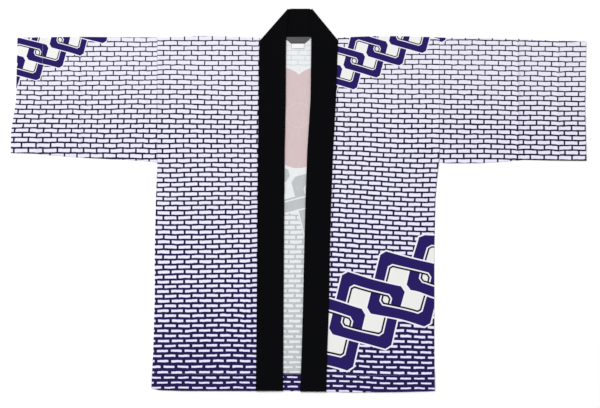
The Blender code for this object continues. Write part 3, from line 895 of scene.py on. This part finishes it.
def front_z(x, y, hem):
    """Height of the middle of a front."""
    side = np.where(x > 0, column(CUTS, "y", "side_left", y), column(CUTS, "y", "side_right", y))
    inward = np.abs(side) - np.abs(x)
    sewn = eased(UNDERARM_Y, UNDERARM_Y - SEWN_DOWN, y)
    flat = sewn * eased(SIDE_ROLL, 0, inward)
    hemmed = eased(HEM_UP, HEM_STEP, y - hem)
    even = eased(SHOULDER_Y - SHOULDER_FLAT, SHOULDER_Y - SHOULDER_LOOSE, y)
    loose = even * (1 - HEM_STIFF * hemmed) * eased(0, SEAM_NEAR, inward)
    uneven = (creased(TOP_CREASES, x, y) + waves(x, y)) * loose
    ditch = DITCH * eased(DITCH_WIDE, 0, inward)
    ditch = ditch - SEAM_HIGH * share_of(SEAM_WIDE, 0, inward) * even
    ditch = ditch * (1 - sewn)
    loft = LOFT * (1 - flat) * (1 - HEM_PRESS * hemmed)
    return TOP_Z + loft + uneven - ditch + 2 * LAYER * hemmed


def front_place(side):
    """The place function of a front. s is the share of the way out from the collar seam, and
    t the length of cloth up from the hem's fold."""
    out = 1 if side == "left" else -1

    def place(s, t):
        seam = getattr(CUTS[0], "seam_" + side) - out * UNDER_BAND
        edge = getattr(CUTS[0], "side_" + side)
        hem = column(HEMS, "x", "y", seam + (edge - seam) * s) + WALL / 2
        y, rise, _ = span(t, BODY_LONG, hem, HEM_R, 0, WALL)
        at = np.where(t > KEPT, y + SHOULDER_Y * share_of(KEPT, BODY_LONG, t), y)
        under = UNDER_BAND * eased(MITRE_HIGH, MITRE_LOW, at)
        seam = column(CUTS, "y", "seam_" + side, at) - out * under
        edge = column(CUTS, "y", "side_" + side, at) - out * SEAM_GAP / 2
        x = seam + (edge - seam) * s
        top = crest(x) - WALL / 2
        shoulder_r = (front_z(x, SHOULDER_Y, hem) - FLOOR_Z) / 2
        y, _, drop = span(t, BODY_LONG, hem, HEM_R, top, shoulder_r)
        z = front_z(x, y, hem) - (HEM_R - rise)
        z = z - np.where(t > BODY_LONG - KEPT, shoulder_r - drop, 0)
        drawn = PRINT_DRAW * creased(TOP_CREASES, x, y) + PRINT_SWAY * waves(x, y)
        u, v = print_place(FRONT_LIES[side], x, np.where(t > 0, y, 2 * hem - y), drawn)
        return x, y, z, u, v

    return place


SMALL_LINK = 0.59  # size of a link on the shoulders, to one on the left front
FRONT_LEAN = math.radians(-13.4)  # of the row on the left front
LINK_ROWS = {
    "right": [],
    "left": [
        LinkRow(0.1523, -0.2492, 1.0, False, FRONT_LEAN),
        LinkRow(0.1510, 0.3275, SMALL_LINK, False, LEAN),
    ],
}
LOW_CORNER = {"right": None, "left": (0.285, -0.0785)}  # where the chain is drawn lower
FRONT_WIDE = 0.245
FINE_MESH = 0.0024  # size of a face where creases need it
for side in ("right", "left"):
    lie = FRONT_LIES[side]
    corner = LOW_CORNER[side] and print_place(lie, *LOW_CORNER[side])
    rows = rows_on(lie, LINK_ROWS[side])
    place = front_place(side)
    across = lines(0, 1, FINE_MESH / FRONT_WIDE, (0, 0.01), (0, 0.004, 0.009, 0.015))
    front = lay_cloth(
        "front_panel_" + side,
        across if side == "left" else across[::-1],
        body_lines(SHOULDER_LAP),
        place,
        [
            cotton("front_cotton_" + side, rows, corner=corner),
            cotton("front_cotton_inside_" + side, rows, wrong=True, corner=corner),
        ],
    )
    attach(front, "root")
    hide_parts("front_" + side)
    shares = np.arange(0.04, 0.990, STITCH / FRONT_WIDE)
    stitches = sew("front_hem_stitches_" + side, place, shares, HEM_TURN - STITCH_IN)


# ---------------------------------------------------------------------------------------
# The sleeves: each a flat tube of printed cotton, folded at the shoulder, sewn under the arm
# and open at both ends, with a wide hem turned to the inside of its cuff.

CUFF_X = 0.6470
CUFF_HEM = 0.0620
CUFF_R = LAYER / 2
SLEEVE_MESH = 0.0042
# Upright cuts through each sleeve. out: share of its length from the armhole.
SleeveCut = namedtuple("SleeveCut", "out top bottom")
SLEEVE_CUTS = {
    "right": [
        SleeveCut(0.00, 0.3665, 0.0850),
        SleeveCut(0.06, 0.3668, 0.0880),
        SleeveCut(0.25, 0.3672, 0.0920),
        SleeveCut(0.53, 0.3682, 0.0964),
        SleeveCut(0.75, 0.3676, 0.1022),
        SleeveCut(0.83, 0.3672, 0.1055),
        SleeveCut(1.00, 0.3656, 0.1069),
    ],
    "left": [
        SleeveCut(0.00, 0.3665, 0.0850),
        SleeveCut(0.06, 0.3660, 0.0838),
        SleeveCut(0.28, 0.3654, 0.0842),
        SleeveCut(0.42, 0.3646, 0.0866),
        SleeveCut(0.57, 0.3632, 0.0915),
        SleeveCut(0.76, 0.3598, 0.0900),
        SleeveCut(1.00, 0.3571, 0.0893),
    ],
}
# How far each cuff falls short of CUFF_X. up: share of its depth, from the bottom.
CuffCut = namedtuple("CuffCut", "up right left")
CUFF_CUTS = [
    CuffCut(0.00, 0.0, 0.0),
    CuffCut(0.20, 0.0015, 0.0012),
    CuffCut(0.45, 0.0120, 0.0030),
    CuffCut(1.00, 0.0154, 0.0004),
]
SLEEVE_LIES = {
    "right": Lie(
        [Course(0.0947, 23), Course(0.1290, 20), Course(0.2058, 13), Course(0.3459, 0)],
        [Joint(-0.6216, 0), Joint(-0.5237, 3), Joint(-0.4957, 4), Joint(-0.3485, 9)],
        [Skew(0.1270, -0.0028), Skew(0.1760, 0)],
        [
            Pull(-0.395, 0.340, 0.085, 0.11, 0.0080, 0),
            Pull(-0.600, 0.260, 0.09, 0.08, 0, -0.0018),
            Pull(-0.590, 0.140, 0.10, 0.035, 0, 0.0022),
        ],
    ),
    "left": Lie(
        [Course(0.0950, 23), Course(0.3502, 0)],
        [Joint(0.3447, 0), Joint(0.4660, 4), Joint(0.5245, 6), Joint(0.6183, 9)],
        [Skew(0.1180, -0.0034), Skew(0.3250, -0.0004)],
        [Pull(0.640, 0.200, 0.20, 1.00, 0, -0.0036), Pull(0.590, 0.240, 0.12, 0.10, 0, -0.0022)],
    ),
}
SLEEVE_CREASES = [
    Crease(-0.4916, 0.400, -0.4925, 0.060, 0.0, 0.0026, 0.0036),
    Crease(-0.5780, 0.360, -0.5910, 0.060, 0.0, 0.0028, 0.0040),
    Crease(-0.3460, 0.240, -0.3400, 0.100, 0.0, 0.0020, 0.0036),
    Crease(-0.6200, 0.236, -0.3300, 0.226, 0.0, 0.0008, 0.0150),
    Crease(-0.4100, 0.340, -0.4020, 0.120, 0.006, 0.0009, 0.0170),
    Crease(-0.5500, 0.190, -0.4700, 0.110, 0.008, 0.0008, 0.0140),
    Crease(0.4920, 0.420, 0.4920, 0.010, 0.0, 0.0042, 0.0036),
    Crease(0.5830, 0.400, 0.5845, 0.050, 0.0, 0.0032, 0.0042),
    Crease(0.3300, 0.165, 0.4700, 0.150, 0.0, 0.0009, 0.0140),
    Crease(0.4100, 0.330, 0.4020, 0.140, -0.005, 0.0009, 0.0170),
    Crease(0.5350, 0.320, 0.5420, 0.130, 0.004, -0.0009, 0.0150),
]
SLEEVE_DEEP = 0.280
SLEEVE_R = (LAYER + LOFT) / 2  # half of the way from a sleeve's lower cloth to its upper one
CUFF_HALF = 1.5 * LAYER  # and at the cuff, where the turned hem lies between them
CUFF_STEP_IN = CUFF_X - CUFF_HEM - 0.006  # the step from one to the other starts here
CUFF_STEP_OUT = CUFF_X - CUFF_HEM + 0.002  # and ends here
SEAM_CLEAR = 0.045  # so far from its folds a sleeve's seam allowance has its full height
CUFF_SLANT = 0.35  # share of its length past which a sleeve follows the slant of its cuff
SLEEVE_LONG = CUFF_X - ARMHOLE_X - SEAM_GAP / 2 + CUFF_R * (math.pi / 2 - 1)


def sleeve_place(side):
    """The place function of a sleeve. s goes round it: up the upper cloth from 0 to 1, and
    down the lower from 1 to 2. t is the length of cloth in from the cuff's fold, and less
    than 0 in the turned hem."""
    out = 1 if side == "left" else -1
    cuts = SLEEVE_CUTS[side]

    def place(s, t):
        near, rise = fold(t, CUFF_R)
        inset = CUFF_R - rise
        far = CUFF_X - near
        share = share_of(ARMHOLE_X, CUFF_X, far)
        hemmed = eased(CUFF_STEP_IN, CUFF_STEP_OUT, far)
        radius = SLEEVE_R + (CUFF_HALF - SLEEVE_R) * hemmed
        top = column(cuts, "out", "top", share) - WALL / 2
        bottom = column(cuts, "out", "bottom", share) + WALL / 2
        run = np.where(s > 1, 2 - s, s) * SLEEVE_DEEP
        inner = radius - inset
        y, low, high = span(run, SLEEVE_DEEP, bottom + inset, inner, top - inset, inner)
        above = np.where(s > 1, -1, 1) * np.minimum(low, high)
        up = (y - bottom) / (top - bottom)
        x = out * (far - column(CUFF_CUTS, "up", side, up) * eased(CUFF_SLANT, 1, share))
        edge = np.minimum(y - bottom, top - y)
        from_seam = far - ARMHOLE_X
        upper = 0.5 + above / inner / 2
        loose = upper * eased(0, SEAM_NEAR, edge) * eased(0, SEAM_NEAR, from_seam)
        uneven = creased(SLEEVE_CREASES, x, y) * (1 - HEM_PRESS * hemmed) + waves(x, y)
        ditch = DITCH * eased(DITCH_WIDE, 0, from_seam)
        clear = eased(SEAM_NEAR, SEAM_CLEAR, edge)
        ditch = (ditch - SEAM_HIGH * share_of(SEAM_WIDE, 0, from_seam) * clear) * upper
        z = FLOOR_Z + radius + above + uneven * loose - ditch
        drawn = PRINT_DRAW * creased(SLEEVE_CREASES, x, y) + PRINT_SWAY * waves(x, y)
        plain = out * np.where(t > 0, far, 2 * CUFF_X - far)
        u, v = print_place(SLEEVE_LIES[side], plain, y, drawn)
        return x, y, z, u, v

    return place


SLEEVE_ROWS = {
    "right": [LinkRow(-0.5718, 0.3472, SMALL_LINK, False, LEAN)],
    "left": [LinkRow(0.2985, 0.4072, SMALL_LINK, False, LEAN)],
}
steps = [step / SLEEVE_DEEP for step in FOLD_STEPS]
upper = lines(0, 1, SLEEVE_MESH / SLEEVE_DEEP, steps, steps)
around = np.array(sorted({*upper, *(upper + 1)}))
hem = lines(-CUFF_HEM, 0, SLEEVE_MESH, (0, 0.001), FOLD_STEPS)
tube = lines(0, SLEEVE_LONG, FINE_MESH, FOLD_STEPS, (0, 0.0012, 0.0026, 0.0045))
for side in ("right", "left"):
    rows = rows_on(SLEEVE_LIES[side], SLEEVE_ROWS[side])
    place = sleeve_place(side)
    sleeve = lay_cloth(
        "sleeve_tube_" + side,
        around if side == "left" else around[::-1],
        np.array(sorted({*hem, *tube})),
        place,
        [
            cotton("sleeve_cotton_" + side, rows),
            cotton("sleeve_cotton_inside_" + side, rows, wrong=True),
        ],
    )
    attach(sleeve, "root")
    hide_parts("sleeve_" + side)
    shares = np.arange(0.006, 0.994, STITCH / SLEEVE_DEEP)
    stitches = sew("cuff_stitches_" + side, place, shares, CUFF_HEM - STITCH_IN, along_cuff=True)


# ---------------------------------------------------------------------------------------
# The collar: one long strip of black twill, folded double and pressed. It runs up the right
# front, is mitred at the shoulder, runs behind the neck and down the left front.

BAND_WALL = 0.0020
BAND_R = 0.0016  # bend of the strip at a mitre
BAND_NECK_Z = BAND_WALL / 2 + 0.0001  # middle of the band behind the neck, on the floor
BAND_SEAM_Z = TOP_Z + LOFT + (WALL + BAND_WALL) / 2 + 0.0004  # and at the seam with a front
BAND_FREE_Z = BAND_SEAM_Z - 0.0009  # and at the free edge
NECK_CLIMB = 0.310  # the band starts to climb here, to its mitre
BAND_LOOSE = 0.300  # its creases and waves fade out from here
BAND_FLAT = 0.340  # to here
HEM_RISE = 2 * LAYER - LOFT / 2  # how far the band climbs over the hem of a front
HEM_CLEAR = 0.006  # it starts to, so far above the step up to that hem
COLLAR_TOP_Y = 0.4314  # top edge of the collar, behind the neck
FREE_OVER = 0.0015  # how far the band runs on past its cuts, at its free edge
SEAM_OVER = {"right": 0.0012, "left": 0.0}  # and at its seam
# The fold of a mitre runs from the upper end of a front's seam to a tip on the top edge.
Mitre = namedtuple("Mitre", "seam_x seam_y tip_x")
MITRES = {"right": Mitre(-0.0874, 0.3593, -0.0239), "left": Mitre(0.0884, 0.3610, 0.0306)}
BAND_CREASES = [
    Crease(-0.120, 0.024, -0.010, 0.026, 0.0, 0.0022, 0.0050),
    Crease(-0.120, 0.152, -0.010, 0.155, 0.0, 0.0009, 0.0070),
    Crease(-0.120, -0.176, -0.010, -0.178, 0.0, 0.0007, 0.0100),
    Crease(0.000, 0.022, 0.095, 0.024, 0.0, 0.0022, 0.0050),
    Crease(0.000, 0.006, 0.095, 0.005, 0.0, 0.0010, 0.0050),
    Crease(0.010, 0.287, 0.105, 0.287, 0.0, 0.0010, 0.0060),
    Crease(0.000, 0.154, 0.100, 0.152, 0.0, 0.0009, 0.0070),
    Crease(-0.010, -0.180, 0.090, -0.176, 0.0, 0.0007, 0.0100),
    Crease(-0.015, -0.359, 0.080, -0.359, 0.0, 0.0009, 0.0070),
]
RIB_GAP = 0.0036  # of the mesh, from one rib to the next
TWILL_RIB = 0.0013  # from one slanting rib of the twill to the next, along the strip
BLACK = (0.0025, 0.0026, 0.0032)


def front_ribs(side):
    """Ribs of the strip, each from its seam edge to its free edge, from the hem up the front
    and round the mitre to the stretch behind the neck."""
    out = 1 if side == "left" else -1
    mitre = MITRES[side]
    size = math.hypot(COLLAR_TOP_Y - mitre.seam_y, mitre.tip_x - mitre.seam_x)
    step_x = out * (COLLAR_TOP_Y - mitre.seam_y) / size
    step_y = -out * (mitre.tip_x - mitre.seam_x) / size
    inset = BAND_R + BAND_WALL / 2
    seam = (mitre.seam_x - step_x * inset, mitre.seam_y - step_y * inset)
    tip = (mitre.tip_x - step_x * inset, COLLAR_TOP_Y - step_y * inset)
    foot = column(HEMS, "x", "y", getattr(CUTS[0], "seam_" + side))
    high = BAND_NECK_Z + 2 * BAND_R
    ribs = []
    for y in lines(foot, seam[1], RIB_GAP):
        below = eased(MITRE_HIGH, MITRE_LOW, y)
        seam_x = column(CUTS, "y", "seam_" + side, y) + out * SEAM_OVER[side] * below
        free_x = column(CUTS, "y", "free_" + side, y) - out * FREE_OVER
        over_neck = eased(NECK_CLIMB, MITRE_HIGH, y)
        over_hem = HEM_RISE * eased(foot + HEM_UP + HEM_CLEAR, foot + HEM_TURN, y)
        seam_z = BAND_SEAM_Z + (high - BAND_SEAM_Z) * over_neck + over_hem
        free_z = BAND_FREE_Z + (high - BAND_FREE_Z) * over_neck + over_hem
        ribs.append(((seam_x, y, seam_z), (free_x, y, free_z)))
    free = ribs[-1][1]
    for share in np.linspace(0.1, 0.9, 9):
        corner_x = free[0] + (tip[0] - free[0]) * share
        corner_y = free[1] + (tip[1] - free[1]) * share
        ribs.append(((*seam, high), (corner_x, corner_y, high)))
    for turn in np.linspace(0, math.pi, 9):
        push = BAND_R * math.sin(turn)
        z = BAND_NECK_Z + BAND_R * (1 + math.cos(turn))
        ribs.append(tuple((x + step_x * push, y + step_y * push, z) for x, y in (seam, tip)))
    for x in np.linspace(seam[0], tip[0], 12)[1:]:
        drop = share_of(NECKLINE_FLAT, abs(seam[0]), abs(x))
        y = NECKLINE_Y + SEAM_GAP + (seam[1] - NECKLINE_Y - SEAM_GAP) * drop
        ribs.append(((x, y, BAND_NECK_Z), (*tip, BAND_NECK_Z)))
    return ribs


right_ribs, left_ribs = front_ribs("right"), front_ribs("left")
neck_ribs = []
for x in np.linspace(right_ribs[-1][1][0], left_ribs[-1][1][0], 14)[1:-1]:
    neck_ribs.append(((x, NECKLINE_Y + SEAM_GAP, BAND_NECK_Z), (x, COLLAR_TOP_Y, BAND_NECK_Z)))
RIBS = np.array(right_ribs + neck_ribs + left_ribs[::-1])
middles = RIBS.mean(axis=1)
rib_steps = np.linalg.norm(np.diff(middles, axis=0), axis=1)
RIB_AT = np.concatenate([[0], np.cumsum(rib_steps)])


def collar_place(s, t):
    """s is the share of the way from the seam edge to the free edge, and t a rib's number."""
    rib = RIBS[np.rint(t).astype(int)]
    x, y, z = (rib[:, 0] * (1 - s[:, None]) + rib[:, 1] * s[:, None]).T
    low = eased(BAND_FLAT, BAND_LOOSE, y)
    z = z + (creased(BAND_CREASES, x, y) + 0.5 * waves(x, y)) * low
    wide = np.linalg.norm(rib[:, 1] - rib[:, 0], axis=1)
    return x, y, z, s * wide, RIB_AT[np.rint(t).astype(int)]


def twill():
    """Black cotton twill, with its fine slanting ribs in its bump and painted as light and shade in
    its colour.
    """
    made, tree, shader = new_finish("black_twill", specular=0.03)
    shader.inputs["Sheen Weight"].default_value = 0.01
    cloth = flat_cloth(tree)
    u, v = split(tree, cloth)
    rib = ripple(tree, calc(tree, "ADD", u, v), TWILL_RIB)
    woven = use(tree, COTTON, cloth)
    # painted light and shade: the ribs make the black lighter and darker in slanting stripes, on top
    # of the cotton's Tone with its painted weave shade
    tone = calc(tree, "MULTIPLY_ADD", rib, 0.12, woven.outputs["Tone"])
    feed(tree, shader.inputs["Base Color"], toned(tree, BLACK, tone))
    feed(tree, shader.inputs["Roughness"], woven.outputs["Rough"])
    height = calc(tree, "MULTIPLY_ADD", rib, 0.15, woven.outputs["Height"])
    relief(tree, shader, height, strength=0.4, distance=0.0006)
    return made


collar = lay_cloth(
    "collar_strip",
    lines(0, 1, 0.07)[::-1],
    np.arange(len(RIBS)).astype(float),
    collar_place,
    [twill()],
    wall=BAND_WALL,
)
rounded = collar.modifiers.new("pressed_edges", "BEVEL")
rounded.width = 0.0008
rounded.segments = 3
rounded.limit_method = "ANGLE"
rounded.angle_limit = math.radians(60)
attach(collar, "root")
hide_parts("collar")


# ---------------------------------------------------------------------------------------
# The labels, both sewn into the neck seam and hanging on the back: a grey woven name label,
# left bare, and a small white care label under it.

TAPE_WALL = 0.0005
TAPE_CURL = 0.0004  # how far the foot of a label bows up
FOOT_EDGE = 0.0017  # width of the tone along it


def tape(name, base, edge):
    """Woven tape: fine cross threads, with an edge of another tone along its foot."""
    made, tree, shader = new_finish(name, specular=0.2)
    cloth = flat_cloth(tree)
    u, v = split(tree, cloth)
    weave = calc(tree, "MULTIPLY", ripple(tree, u, 0.0007), ripple(tree, v, 0.0005))
    foot = inside(tree, v, FOOT_EDGE, soft=0.0005)
    uneven = noise(tree, cloth, scale=180.0, detail=3.0)
    mottled = blend(tree, calc(tree, "MULTIPLY", uneven, 0.35), base, edge)
    feed(tree, shader.inputs["Base Color"], blend(tree, foot, mottled, edge))
    feed(tree, shader.inputs["Roughness"], ramp(tree, weave, -1.0, 1.0, 0.45, 0.70))
    relief(tree, shader, weave, strength=0.5, distance=0.0002)
    return made


Label = namedtuple("Label", "name node slot x top_half foot_half foot_y z base edge")
LABELS = [
    Label(
        name="neck_tape",
        node="neck_label",
        slot="grey_tape",
        x=-0.0017,
        top_half=0.0316,
        foot_half=0.0152,
        foot_y=0.3530,
        z=0.0028,
        base=(0.098, 0.098, 0.102, 1),
        edge=(0.045, 0.045, 0.047, 1),
    ),
    Label(
        name="care_tape",
        node="size_label",
        slot="white_tape",
        x=-0.0012,
        top_half=0.0138,
        foot_half=0.0138,
        foot_y=0.3412,
        z=0.0020,
        base=(0.93, 0.93, 0.935, 1),
        edge=(0.72, 0.72, 0.73, 1),
    ),
]


def label_place(label):
    """The place function of a label. s is its share from right to left, and t up it."""

    def place(s, t):
        half = label.foot_half + (label.top_half - label.foot_half) * t
        x = label.x + half * (2 * s - 1)
        y = label.foot_y + (NECKLINE_Y - label.foot_y) * t
        curl = TAPE_CURL * np.sin(math.pi * s) * (1 - t)
        return x, y, label.z + curl, x, y - label.foot_y

    return place


for label in LABELS:
    finish = tape(label.slot, label.base, label.edge)
    shares = lines(0, 1, 0.05)
    made = lay_cloth(label.name, shares, lines(0, 1, 0.1), label_place(label), [finish], TAPE_WALL)
    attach(made, "root")
    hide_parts(label.node)


# ---------------------------------------------------------------------------------------
# The floor, the light and the camera: a plain pale floor, soft even light from all round and
# from above on one side, and a camera with a long lens that looks straight down.

FLOOR_HALF = 6.0
bm = bmesh.new()
bmesh.ops.create_grid(bm, x_segments=1, y_segments=1, size=FLOOR_HALF)
floor_mesh = bpy.data.meshes.new("floor")
bm.to_mesh(floor_mesh)
bm.free()
floor_finish, _, floor_shader = new_finish("pale_floor", specular=0.1)
floor_shader.inputs["Base Color"].default_value = (0.98, 0.98, 0.98, 1)
floor_shader.inputs["Roughness"].default_value = 0.9
floor_mesh.materials.append(floor_finish)
floor = show("floor", floor_mesh)

sky = bpy.data.worlds.new("soft_light")
sky.use_nodes = True
soft_light = sky.node_tree.nodes["Background"]
soft_light.inputs["Color"].default_value = (1, 1, 1, 1)
soft_light.inputs["Strength"].default_value = 0.55
bpy.context.scene.world = sky
bpy.context.scene.view_settings.view_transform = "Standard"

KEY_PLACE = Vector((-2.4, 2.4, 6.6))
key = bpy.data.lights.new("key", "AREA")
key.shape = "DISK"
key.size = 2.5
key.energy = 347
key_light = show("key", key)
key_light.location = KEY_PLACE
key_light.rotation_euler = (-KEY_PLACE).to_track_quat("-Z", "Y").to_euler()

CAMERA_X = 0.0034
CAMERA_Y = -0.0079
CAMERA_UP = 6.0
VIEW_WIDE = 1.350  # of the floor that the picture takes in
lens = bpy.data.cameras.new("camera")
lens.sensor_width = 36
lens.lens = lens.sensor_width * CAMERA_UP / VIEW_WIDE
camera = show("camera", lens)
camera.location = (CAMERA_X, CAMERA_Y, CAMERA_UP)
bpy.context.scene.camera = camera
